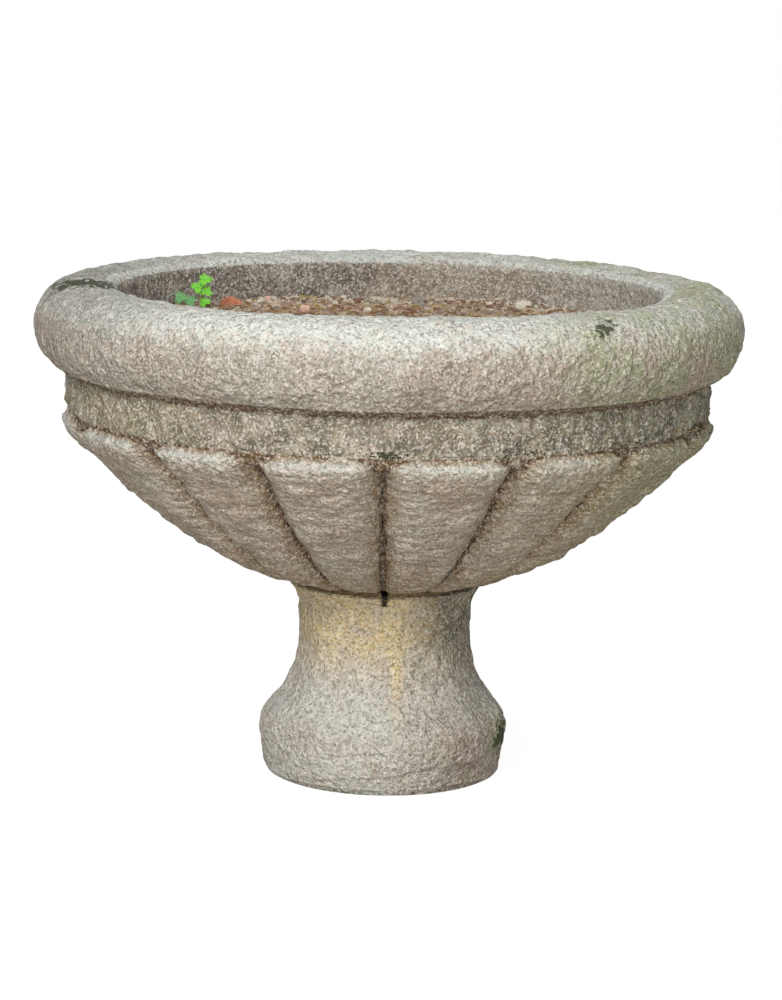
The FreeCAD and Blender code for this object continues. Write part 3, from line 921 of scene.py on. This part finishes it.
# ------------------------------------------------------------------- pedestal
@dataclass
class Pedestal:
    """Waisted pedestal stone; heights in millimetres over the ground."""

    height: float = 236.0
    foot_bottom: float = 145.0
    foot_bevel: float = 8.0
    foot_top: tuple = (150.0, 46.0)
    torus_round: float = 42.0
    torus_top: tuple = (138.0, 83.0)
    waist: tuple = (102.0, 174.0)
    throating: tuple = (104.0, 212.0)
    cap_radius: float = 116.0
    notch_half: float = 5.0
    notch_depth: float = 11.0
    columns: int = 720

    def outline(self) -> np.ndarray:
        """Draw the pedestal.

        Returns:
            Radius and height from the middle of the base to the middle of the bed.
        """
        below_waist = square_arc(self.torus_top[0] - self.waist[0],
                                 self.waist[1] - self.torus_top[1])
        outline = Outline([(1.0, 0.0)])
        outline.line((self.foot_bottom - self.foot_bevel, 0.0), 8.0)
        outline.arc((self.foot_bottom, self.foot_bevel), self.foot_bevel, -1, 1.5)
        outline.line(self.foot_top, 2.0).arc(self.torus_top, self.torus_round, -1, 2.0)
        outline.arc(self.waist, below_waist, 1, 2.0).line(self.throating, 2.0)
        outline.arc((self.cap_radius, self.height - 2.0), 40.0, 1, 1.0)
        outline.line((self.cap_radius - 4.0, self.height), 1.0).line((2.0, self.height), 1.2)
        return outline.array()

    def build(self) -> bpy.types.Object:
        """Cut, wear, stain and place the pedestal, with painted shade and light.

        Returns:
            The piece.
        """
        outline = self.outline()
        turn = np.arange(self.columns) / self.columns * 2 * math.pi - math.pi / 2
        radius = np.repeat(outline[:, :1], self.columns, axis=1)
        height = np.repeat(outline[:, 1:], self.columns, axis=1)
        grid = np.stack([radius * np.cos(turn), radius * np.sin(turn), height], axis=2) * MM
        normal = grid_normals(grid)
        flat = grid.reshape(-1, 3)
        shape = radius.shape
        side = ease(height, 0, 10) * (1 - ease(height, 232, 236))
        facets = np.cos(8 * turn)[None, :] * 1.1 * ease(height, 10, 60)
        chipped = StoneNoise(47).at(flat, 0.05, 2).reshape(shape)
        edge = np.exp(-((height - 60) / 16) ** 2) * np.minimum(chipped, 0) * 4.5
        chamfer = 25 + 0.1 * grid[:, :, 0] / MM - height + 5 * chipped
        worn = ease(chamfer, 0, 2.5) * (2.2 + np.clip(chamfer, 0, 26) * 0.12)
        worn *= ease(-grid[:, :, 1] / MM, 60, 110)
        push = (StoneNoise(41).at(flat, 0.12, 2).reshape(shape) * 1.6
                + StoneNoise(43).at(flat, 0.024, 2).reshape(shape) * 1.2
                + StoneNoise(45).at(flat, 0.0095, 2).reshape(shape) * 1.0
                + facets + edge) * side - worn * (height > 0.5)
        grid = grid + normal * push[:, :, None] * MM
        grid = self._cut_notch(grid)
        normal = grid_normals(grid)

        mesh = mesh_of("pedestal_stone", grid.reshape(-1, 3), ring_faces(*shape))
        mark(mesh, {name: values.ravel()
                    for name, values in self.stains_and_painted_light(grid, normal).items()})
        piece = put_in_scene("pedestal_stone", mesh)
        piece.data.materials.append(WeatheredGranite().material("pedestal_granite"))
        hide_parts("pedestal")
        return piece

    def _cut_notch(self, grid: np.ndarray) -> np.ndarray:
        """Sink the weep notch into the top bed, from the middle to the front.

        Args:
            grid: The worn form.

        Returns:
            The form with its notch.
        """
        x, y, z = (grid[:, :, axis] / MM for axis in range(3))
        below = np.clip(self.height - z, 0, None) / self.notch_depth
        half = self.notch_half * np.clip(1.15 - below, 0, 1) ** 0.7
        within = ease(-np.abs(x), -half - 0.7, -half + 0.7) * (y < 0) * (below < 1.05)
        face = within * (z < self.height - 0.5)
        bed = within * (z >= self.height - 0.5)
        inward = np.array([0, 1.0, 0])
        grid = grid + face[:, :, None] * inward * 24 * MM
        grid[:, :, 2] -= bed * self.notch_depth * MM
        return grid

    def stains_and_painted_light(self, grid: np.ndarray, normal: np.ndarray) -> dict[str, np.ndarray]:
        """Work out where weather has coloured the pedestal, and where shade and light are painted
        on it.

        Args:
            grid: The worn form.
            normal: Its normals.

        Returns:
            Masks from 0 to 1 by name.
        """
        x, y, z = (grid[:, :, axis] / MM for axis in range(3))
        blotch = StoneNoise(53).at(grid.reshape(-1, 3), 0.06, 3).reshape(x.shape)
        right = ease(x, 10, 90)
        upper = ease(z, 110, 200)
        streak = np.exp(-((x - 16) / 7) ** 2) * (y < 0) * ease(z, 60, 120)
        damp = np.exp(-(((x - 108) / 12) ** 2 + ((z - 222) / 22) ** 2))
        foot_moss = np.exp(-(((x - 146) / 14) ** 2 + ((z - 48) / 26) ** 2)) * (y < 40)
        half = 1.6 + np.clip(z - 225, 0, 11) * 0.24
        # painted shadow: a near-black strip in the weep notch
        painted_notch_shadow = ease(half - np.abs(x), -0.4, 0.4) * (y < 0) * (np.hypot(x, y) > 88) * (z > 225)
        zero = np.zeros_like(x)
        return {
            # painted light: lighter low on the left and on upward faces
            "pale": (1 - upper) * 0.35 * (1 - right) + ease(normal[:, :, 2], 0.3, 0.8) * 0.3,
            # painted light on the upper pedestal's lit left and front, with a straw streak down
            # the front
            "straw_and_painted_light": upper * (1 - right * 0.75) * (0.95 + 0.3 * blotch) + streak * 0.8,
            "umber_and_painted_shade": zero,
            "wall": zero,
            "olive": upper * right * 0.7,
            "lichen": right * 0.3 * (0.5 + blotch) + damp + foot_moss,
            # painted shade: the right side, most of it under the bowl
            "grime_and_painted_shade": upper * right * 0.7 + right * 0.25,
            # painted shade along the pedestal's top edge under the bowl
            "earth_and_painted_shade": ease(z, 231, 236) * 0.5,
            "tooled": zero,
            "moss": damp * 0.75 + foot_moss,
            "painted_notch_shadow": painted_notch_shadow,
        }


@dataclass
class MortarJoint:
    """Weathered mortar, nearly flush, between the two stones."""

    node: str = "mortar_bed"
    radius: float = 111.0
    bottom: float = 235.0
    top: float = 241.0
    gap_half: float = 4.185
    columns: int = 480

    def build(self) -> bpy.types.Object:
        """Lay the ring of mortar, open at the weep notch.

        Returns:
            The piece.
        """
        gap = self.gap_half / self.radius
        turn = np.linspace(gap, 2 * math.pi - gap, self.columns) - math.pi / 2
        rows = np.linspace(self.bottom, self.top, 5)
        face = StoneNoise(57)
        points = []
        for height in rows:
            belly = self.radius - 0.18 * (height - 238) ** 2
            ring = np.stack([belly * np.cos(turn), belly * np.sin(turn),
                             np.full_like(turn, height)], axis=1) * MM
            reach = 1 + face.at(ring, 0.01, 3)[:, None] * 0.006
            points.append(ring * np.array([1, 1, 0]) * reach + ring * np.array([0, 0, 1]))
        grid = np.stack(points)
        faces = [(row * self.columns + column, row * self.columns + column + 1,
                  (row + 1) * self.columns + column + 1, (row + 1) * self.columns + column)
                 for row in range(len(rows) - 1) for column in range(self.columns - 1)]
        mesh = mesh_of("mortar_joint", grid.reshape(-1, 3), faces)
        piece = put_in_scene("mortar_joint", mesh)
        Matter.MORTAR.dress(piece)
        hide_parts(self.node)
        return piece


# ------------------------------------------------------------- what it holds
def worn_lump(name: str, low: Vector, high: Vector, seed: int) -> bpy.types.Mesh:
    """Make a rounded, roughened stone that sits in a box with its foot in the soil.

    Args:
        name: Name of the mesh.
        low: The box's low corner in metres.
        high: The box's high corner in metres.
        seed: Seed of the stone's shape.

    Returns:
        The stone's mesh.
    """
    mesh = bpy.data.meshes.new(name)
    lump = bmesh.new()
    bmesh.ops.create_icosphere(lump, subdivisions=4, radius=0.5)
    lump.to_mesh(mesh)
    lump.free()
    points = np.array([vertex.co for vertex in mesh.vertices])
    points = points * (1 + 0.16 * StoneNoise(seed).at(points, 0.6, 3)[:, None])
    points = np.sign(points) * np.abs(points) ** 0.85 * 0.5 ** 0.15
    size = np.array(high - low) * np.array([1.0, 1.0, 1.25])
    centre = np.array((low + high) / 2) - np.array([0, 0, (high - low).z * 0.18])
    mesh.vertices.foreach_set("co", (points * size + centre).ravel())
    mesh.polygons.foreach_set("use_smooth", [True] * len(mesh.polygons))
    return mesh


@dataclass
class SoilBed:
    """Soil surface under the rim, with its crumbs, needles and bark."""

    level: float = 542.0
    radius: float = 316.0
    skirt: float = 480.0
    pitch: float = 2.6
    columns: int = 720
    needles: int = 420
    bark: int = 1100
    grit: int = 700
    # small stones seen on the soil: X, Y, length, height in millimetres, and what of
    stones: tuple = ((-157, 260, 9, 6, Matter.PINK_STONE), (-54, 240, 8, 5, Matter.PINK_STONE),
                     (-60, 300, 9, 5, Matter.PALE_STONE), (-28, 211, 10, 5, Matter.PALE_STONE),
                     (42, 268, 7, 5, Matter.GREY_STONE), (128, 250, 9, 5, Matter.PALE_STONE))

    def surface(self, x: np.ndarray, y: np.ndarray) -> np.ndarray:
        """Work out the soil's height.

        Args:
            x: Places along X in millimetres.
            y: Places along Y.

        Returns:
            Heights over the ground in millimetres.
        """
        flat = np.stack([x, y, np.zeros_like(x)], axis=1) * MM
        mound = 4.0 * ease(-x, 40, 260) + 5.0 * ease(np.hypot(x, y), 240, 316)
        return (self.level - 1.5 + mound + StoneNoise(61).at(flat, 0.07, 2) * 3.4
                + StoneNoise(67).at(flat, 0.016, 3) * 2.6)

    def build(self) -> list[bpy.types.Object]:
        """Lay the soil and strew what lies on it.

        Returns:
            The pieces.
        """
        return [self._ground(), self._needles(), *self._stones(),
                self._crumbs("bark_crumbs", self.bark, 9, (1.4, 5.0), Matter.BARK),
                self._crumbs("leaf_crumbs", self.bark // 3, 21, (1.5, 4.5), Matter.DRY_LEAF),
                self._crumbs("pale_grit", self.grit * 2, 13, (1.2, 3.8), Matter.PALE_STONE, 0.07),
                self._crumbs("grey_grit", self.grit // 2, 17, (1.2, 4.0), Matter.GREY_STONE)]

    def _stones(self) -> list[bpy.types.Object]:
        """Lay the few small stones that the photograph shows by themselves.

        Returns:
            The pieces.
        """
        pieces = []
        for number, (x, y, length, height, finish) in enumerate(self.stones, 1):
            z = float(self.surface(np.array([x]), np.array([y]))[0])
            half = Vector((length / 2, length * 0.38, 0))
            low = (Vector((x, y, z - 1)) - half) * MM
            high = (Vector((x, y, z + height)) + half) * MM
            mesh = worn_lump(f"small_stone_{number}", low, high, 90 + number)
            piece = put_in_scene(f"small_stone_{number}", mesh)
            finish.dress(piece)
            pieces.append(piece)
        return pieces

    def _ground(self) -> bpy.types.Object:
        """Make the lumpy soil surface down to the gravel.

        Returns:
            The piece.
        """
        rings = int(self.radius / self.pitch)
        turn = np.arange(self.columns) / self.columns * 2 * math.pi
        reach = np.linspace(2.0, self.radius + 1.5, rings)[::-1]
        radius = np.repeat(reach[:, None], self.columns, axis=1)
        x, y = radius * np.cos(turn), radius * np.sin(turn)
        z = self.surface(x.ravel(), y.ravel()).reshape(x.shape)
        skirt = np.stack([x[0] * 0.93, y[0] * 0.93, np.full(self.columns, self.skirt)], axis=1)
        grid = np.concatenate([skirt[None], np.stack([x, y, z], axis=2)]) * MM
        mesh = mesh_of("soil_surface", grid.reshape(-1, 3), ring_faces(*grid.shape[:2]))
        piece = put_in_scene("soil_surface", mesh)
        piece.data.materials.append(DampSoil().material("soil_finish"))
        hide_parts("soil", "drainage_gravel", "drain_crock")
        return piece

    def _scatter(self, count: int, seed: int, reach: float,
                 spread: float = 0.5) -> tuple[np.ndarray, ...]:
        """Return repeatable places on the soil and turns for small pieces.

        Args:
            count: How many places.
            seed: Their seed.
            reach: Farthest distance from the middle in millimetres.
            spread: 0.5 strews evenly, and less crowds them to the wall.

        Returns:
            X, Y and Z of the places, the turns and the dice.
        """
        dice = np.random.default_rng(seed)
        radius = reach * dice.random(count) ** spread
        angle = dice.random(count) * 2 * math.pi
        x, y = radius * np.cos(angle), radius * np.sin(angle)
        return x, y, self.surface(x, y), dice.random(count) * 2 * math.pi, dice

    def _needles(self) -> bpy.types.Object:
        """Strew dry conifer needles: thin bent rods.

        Returns:
            The piece.
        """
        x, y, z, turn, dice = self._scatter(self.needles, 5, self.radius - 14)
        points, faces = [], []
        for index in range(self.needles):
            length = dice.uniform(12, 38)
            bow = dice.uniform(-0.15, 0.15) * length
            lift = dice.uniform(-3.0, 7.0)
            add_needle(points, faces, Vector((x[index], y[index], z[index] + 0.8)),
                       turn[index], length, bow, lift)
        mesh = mesh_of("needles", np.array(points) * MM, faces)
        piece = put_in_scene("needles", mesh)
        Matter.NEEDLE.dress(piece)
        return piece

    def _crumbs(self, name: str, count: int, seed: int, sizes: tuple[float, float],
                finish: Matter, spread: float = 0.5) -> bpy.types.Object:
        """Strew small broken flakes.

        Args:
            name: The piece's name.
            count: How many flakes there are.
            seed: Seed of their places.
            sizes: Smallest and largest half length in millimetres.
            finish: What they are of.
            spread: 0.5 strews evenly, and less crowds them to the wall.

        Returns:
            One object with all the flakes.
        """
        x, y, z, turn, dice = self._scatter(count, seed, self.radius - 6, spread)
        points, faces = [], []
        for index in range(count):
            size = dice.uniform(*sizes) * (1.6 if dice.random() > 0.93 else 1)
            sides = 6
            first = len(points)
            tilt = dice.uniform(-0.5, 0.5)
            for level in (0, 1):
                for side in range(sides):
                    angle = turn[index] + side * 2 * math.pi / sides
                    reach = size * (0.6 + 0.5 * math.sin(side * 2.4 + index))
                    px, py = reach * math.cos(angle), 0.55 * reach * math.sin(angle)
                    points.append((x[index] + px, y[index] + py,
                                   z[index] - 0.8 + level * (1.2 + size * 0.5) + px * tilt))
            faces.append(tuple(first + sides + side for side in range(sides)))
            for side in range(sides):
                after = (side + 1) % sides
                faces.append((first + side, first + after, first + sides + after,
                              first + sides + side))
        mesh = mesh_of(name, np.array(points) * MM, faces, False)
        piece = put_in_scene(name, mesh)
        finish.dress(piece)
        return piece


@dataclass
class LedgeGrowth:
    """Moss tufts and caught needles on the ledge between rim and gadroons."""

    bowl: Bowl
    tufts: int = 260
    needles: int = 16
    needle_reach: float = 393.0
    needle_heights: tuple = (455.0, 499.0)

    def build(self) -> list[bpy.types.Object]:
        """Set the tufts at the grooves' tops and the needles under the rim."""
        return [self._tufts(), self._caught()]

    def _tufts(self) -> bpy.types.Object:
        """Make small cushions of moss where the worn ledge holds water.

        Returns:
            The piece.
        """
        dice = np.random.default_rng(33)
        pitch = 2 * math.pi / self.bowl.lobes
        grid = self.bowl.grid
        heights = grid[:, 0, 2] / MM - self.bowl.bed
        rows = np.nonzero((heights > 206) & (heights < 216) & (grid[:, 0, 1] < -0.36))[0]
        points, faces = [], []
        for index in range(self.tufts):
            lobe = dice.integers(0, 7)
            turn = lobe * pitch + dice.normal(0, 0.028 if lobe == 0 else 0.07)
            column = int(turn / (2 * math.pi) * self.bowl.columns) % self.bowl.columns
            spot = grid[dice.choice(rows), column] / MM
            size = dice.uniform(0.8, 1.9)
            first = len(points)
            for corner in ((1, 0, 0), (0, 1, 0), (-1, 0, 0), (0, -1, 0), (0, 0, 1), (0, 0, -1)):
                jitter = dice.uniform(0.7, 1.3)
                points.append(spot + np.array(corner) * size * jitter)
            for a in range(4):
                b = (a + 1) % 4
                faces.append((first + a, first + b, first + 4))
                faces.append((first + b, first + a, first + 5))
        mesh = mesh_of("moss_tufts", np.array(points) * MM, faces)
        piece = put_in_scene("moss_tufts", mesh)
        Matter.MOSS.dress(piece)
        return piece

    def _caught(self) -> bpy.types.Object:
        """Lay the needles caught under the rim at the right.

        Returns:
            The piece.
        """
        dice = np.random.default_rng(35)
        points, faces = [], []
        for index in range(self.needles):
            turn = dice.uniform(0.95, 1.28)
            height = dice.choice(self.needle_heights) + dice.uniform(-3, 3)
            place = Vector((math.sin(turn), -math.cos(turn), 0.0)) * self.needle_reach
            place.z = height
            add_needle(points, faces, place, turn + dice.uniform(-0.35, 0.35),
                       dice.uniform(12, 30), dice.uniform(-3, 3), dice.uniform(-6, 6))
        mesh = mesh_of("caught_needles", np.array(points) * MM, faces)
        piece = put_in_scene("caught_needles", mesh)
        Matter.NEEDLE.dress(piece)
        return piece


@dataclass
class LooseStone:
    """Small stone that lies on the soil in its own CAD place."""

    node: str
    finish: Matter
    seed: int

    def build(self) -> bpy.types.Object:
        """Round and roughen a lump to the CAD solid's box.

        Returns:
            The piece.
        """
        low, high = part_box(self.node)
        mesh = worn_lump(f"{self.node}_worn", low, high, self.seed)
        piece = put_in_scene(f"{self.node}_worn", mesh)
        self.finish.dress(piece)
        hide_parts(self.node)
        return piece


@dataclass
class Shard:
    """Broken bit of a terracotta pot on the soil."""

    node: str = "terracotta_shard"
    rows: int = 14
    columns: int = 28

    def build(self) -> bpy.types.Object:
        """Make the curved sherd with a broken outline in the CAD place.

        Returns:
            The piece.
        """
        low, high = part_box(self.node)
        points, faces = [], []
        size = high - low
        ragged = StoneNoise(71)
        for skin in (0, 1):
            for row in range(self.rows):
                for column in range(self.columns):
                    u, v = column / (self.columns - 1), row / (self.rows - 1)
                    bite = ragged.at(np.array([[u * 4, skin * 0.2, 0.0]]), 1.0, 3)[0]
                    x = low.x + size.x * (0.04 + 0.92 * u)
                    arch = 4 * u * (1 - u)
                    y = low.y + size.y * (0.25 + 0.5 * u) + (0.5 - skin) * 0.006 + arch * 0.003
                    z = low.z + size.z * v * (0.4 + 0.5 * arch**0.6 - 0.12 * u + 0.06 * bite)
                    points.append((x, y, z))
        per = self.rows * self.columns
        for skin in (0, 1):
            for row in range(self.rows - 1):
                for column in range(self.columns - 1):
                    a = skin * per + row * self.columns + column
                    quad = (a, a + 1, a + 1 + self.columns, a + self.columns)
                    faces.append(quad if skin == 0 else quad[::-1])
        border = ([(0, c) for c in range(self.columns)]
                  + [(r, self.columns - 1) for r in range(1, self.rows)]
                  + [(self.rows - 1, c) for c in range(self.columns - 2, -1, -1)]
                  + [(r, 0) for r in range(self.rows - 2, 0, -1)])
        for index, (row, column) in enumerate(border):
            next_row, next_column = border[(index + 1) % len(border)]
            a = row * self.columns + column
            b = next_row * self.columns + next_column
            faces.append((b, a, a + per, b + per))
        mesh = mesh_of("pot_sherd", np.array(points), faces)
        piece = put_in_scene("pot_sherd", mesh)
        Matter.TERRACOTTA.dress(piece)
        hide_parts(self.node)
        return piece


@dataclass
class Clover:
    """Sprig of clover: bowed stems, each with three notched leaflets."""

    node: str
    leaf: Matter
    stems: tuple
    tilt: float = 0.95

    def build(self) -> bpy.types.Object:
        """Grow the sprig from the CAD stem's foot.

        Returns:
            The piece.
        """
        low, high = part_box(self.node)
        foot = Vector(((low.x + high.x) / 2, (low.y + high.y) / 2, low.z)) / MM
        points, faces = [], []
        for lean_x, lean_y, rise, size in self.stems:
            top = foot + Vector((lean_x, lean_y, rise))
            self._stem(points, faces, foot, top)
        stem_faces = len(faces)
        for number, (lean_x, lean_y, rise, size) in enumerate(self.stems):
            top = foot + Vector((lean_x, lean_y, rise))
            for leaf in range(3):
                self._leaflet(points, faces, top, leaf * 2.094 + number * 0.7, size)
        mesh = mesh_of(f"{self.node}_sprig", np.array(points) * MM, faces)
        piece = put_in_scene(f"{self.node}_sprig", mesh)
        self.leaf.dress(piece)
        piece.data.materials.append(Matter.STEM.material())
        for face in mesh.polygons[:stem_faces]:
            face.material_index = 1
        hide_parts(self.node)
        return piece

    @staticmethod
    def _stem(points: list, faces: list, foot: Vector, top: Vector) -> None:
        """Add one bowed stem of five sides to a mesh's lists.

        Args:
            points: The mesh's points.
            faces: The mesh's faces.
            foot: The stem's foot.
            top: Its top.
        """
        first, stations, sides = len(points), 9, 5
        for step in range(stations):
            share = step / (stations - 1)
            centre = foot.lerp(top, share)
            centre.x += (top.x - foot.x) * -0.25 * math.sin(math.pi * share)
            for side in range(sides):
                angle = side * 2 * math.pi / sides
                points.append(centre + Vector((math.cos(angle), math.sin(angle), 0)) * 0.55)
        for step in range(stations - 1):
            for side in range(sides):
                after = (side + 1) % sides
                a = first + step * sides
                faces.append((a + side, a + after, a + sides + after, a + sides + side))

    def _leaflet(self, points: list, faces: list, top: Vector, turn: float,
                 size: float) -> None:
        """Add one heart-shaped leaflet, folded a little and turned to the light.

        Args:
            points: The mesh's points.
            faces: The mesh's faces.
            top: The stem's top.
            turn: The way the leaflet points round the stem.
            size: Its length.
        """
        ahead = Vector((math.cos(turn), math.sin(turn), 0.0))
        aside = Vector((-ahead.y, ahead.x, 0.0))
        first, rows = len(points), 8
        half_sides = 4
        for row in range(rows):
            u = row / (rows - 1)
            half = 0.56 * math.sin(math.pi * min(1.0, 0.06 + u * 0.86)) ** 0.75
            for column in range(-half_sides, half_sides + 1):
                v = column / half_sides
                notch = 0.16 * u**4 * (1 - abs(v)) - 0.2 * u**3 * v * v
                reach = size * (u - notch)
                droop = size * (0.352 * abs(v) * half + 0.25 * math.sin(u * 2.2) - 0.18 * u * u)
                place = ahead * reach + aside * (v * half * size) + Vector((0, 0, droop))
                points.append(top + Matrix.Rotation(self.tilt, 3, "X") @ place)
        across = 2 * half_sides + 1
        for row in range(rows - 1):
            for column in range(across - 1):
                a = first + row * across + column
                faces.append((a, a + 1, a + across + 1, a + across))


# --------------------------------------------------------------------- studio
@dataclass
class Studio:
    """Pale floor, soft lamps and the camera at the photograph's angle."""

    distance: float = 3.7406
    eye_height: float = 1.004
    pitch: float = 0.1773
    roll: float = 0.018
    yaw: float = 0.0015
    lens: float = 112.36
    white: tuple = (1.0, 1.0, 1.0, 1.0)
    sky: tuple = (0.93, 0.96, 1.0, 1.0)
    floor_grey: tuple = (0.5, 0.47, 0.43, 1.0)
    floor_reach: float = 12.0

    def build(self) -> None:
        """Set the stage and the view."""
        self._floor()
        self._world()
        self._lamps()
        self._camera()
        bpy.context.scene.view_settings.view_transform = "Standard"

    def _floor(self) -> None:
        """Lay a wide, very light floor that keeps the urn's shadow."""
        mesh = bpy.data.meshes.new("studio_floor")
        reach = self.floor_reach
        mesh.from_pydata([(-reach, -reach, 0), (reach, -reach, 0), (reach, reach, 0),
                          (-reach, reach, 0)], [], [(0, 1, 2, 3)])
        floor = bpy.data.objects.new("studio_floor", mesh)
        bpy.context.scene.collection.objects.link(floor)
        bench = Bench("floor_finish")
        plain = bench.node("ShaderNodeBsdfDiffuse", {}, {"Color": self.floor_grey})
        white = bench.node("ShaderNodeEmission", {}, {"Color": self.white, "Strength": 1.4})
        seen = bench.shade("ShaderNodeLightPath", {}, {}, "Is Camera Ray")
        mixed = bench.node("ShaderNodeMixShader", {}, {0: seen * 0.66, 1: plain.outputs[0],
                                                       2: white.outputs[0]})
        bench.node("ShaderNodeOutputMaterial", {}, {"Surface": mixed.outputs[0]})
        mesh.materials.append(bench.material)

    def _world(self) -> None:
        """Light all round softly, and show white behind the urn."""
        world = bpy.data.worlds.new("studio_world")
        bpy.context.scene.world = world
        bench = Bench(world.name, world)
        sky = bench.node("ShaderNodeBackground", {}, {"Color": self.sky, "Strength": 0.55})
        back = bench.node("ShaderNodeBackground", {}, {"Color": self.white, "Strength": 1.0})
        seen = bench.shade("ShaderNodeLightPath", {}, {}, "Is Camera Ray")
        mixed = bench.node("ShaderNodeMixShader", {}, {0: seen, 1: sky.outputs[0],
                                                       2: back.outputs[0]})
        bench.node("ShaderNodeOutputWorld", {}, {"Surface": mixed.outputs[0]})

    def _lamps(self) -> None:
        """Hang a broad key lamp at the front left, a low one in front and one over the urn."""
        for name, place, aim, size, power in (
            ("key_lamp", (-1.2, -2.9, 2.4), (0, 0, 0.35), 0.9, 84),
            ("front_lamp", (0.1, -3.2, 0.7), (0, 0, 0.15), 1.0, 42),
            ("top_lamp", (0.6, 0.2, 3.0), (0, 0, 0.5), 1.4, 15),
        ):
            data = bpy.data.lights.new(name, "AREA")
            data.energy = power
            data.size = size
            data.color = (1.0, 0.995, 0.985)
            lamp = bpy.data.objects.new(name, data)
            lamp.location = place
            way = Vector(aim) - Vector(place)
            lamp.rotation_euler = way.to_track_quat("-Z", "Y").to_euler()
            bpy.context.scene.collection.objects.link(lamp)

    def _camera(self) -> None:
        """Stand the camera where the photograph was taken."""
        data = bpy.data.cameras.new("camera")
        data.sensor_width = 36.0
        data.lens = self.lens
        camera = bpy.data.objects.new("camera", data)
        camera.location = (0.0, -self.distance, self.eye_height)
        turn = (Matrix.Rotation(-self.yaw, 4, "Z")
                @ Matrix.Rotation(math.pi / 2 - self.pitch, 4, "X")
                @ Matrix.Rotation(self.roll, 4, "Z"))
        camera.rotation_euler = turn.to_euler()
        bpy.context.scene.collection.objects.link(camera)
        bpy.context.scene.camera = camera


def main() -> None:
    """Build the urn piece by piece, then the studio round it."""
    logging.basicConfig(level=logging.INFO, format="%(name)s: %(message)s")
    bowl = Bowl()
    makers = [
        bowl,
        LedgeGrowth(bowl),
        Pedestal(),
        MortarJoint(),
        SoilBed(),
        Shard(),
        LooseStone("pebble_pink", Matter.PINK_STONE, 81),
        LooseStone("pebble_pale", Matter.PALE_STONE, 83),
        LooseStone("pebble_grey", Matter.GREY_STONE, 87),
        Clover("clover_tall", Matter.BRIGHT_LEAF, (
            (5, 0, 39, 8.5), (-4, -2, 30, 8.0), (7, -3, 25, 7.5), (5, -3, 12, 7.0))),
        Clover("clover_low", Matter.DULL_LEAF, ((-10, 0, 15, 8.5), (2, -3, 11, 8.0))),
    ]
    for maker in makers:
        made = maker.build()
        for piece in made if isinstance(made, list) else [made]:
            LOG.info("%s: %d points", piece.name, len(piece.data.vertices))
    Studio().build()
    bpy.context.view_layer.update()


if __name__ == "__main__":
    main()
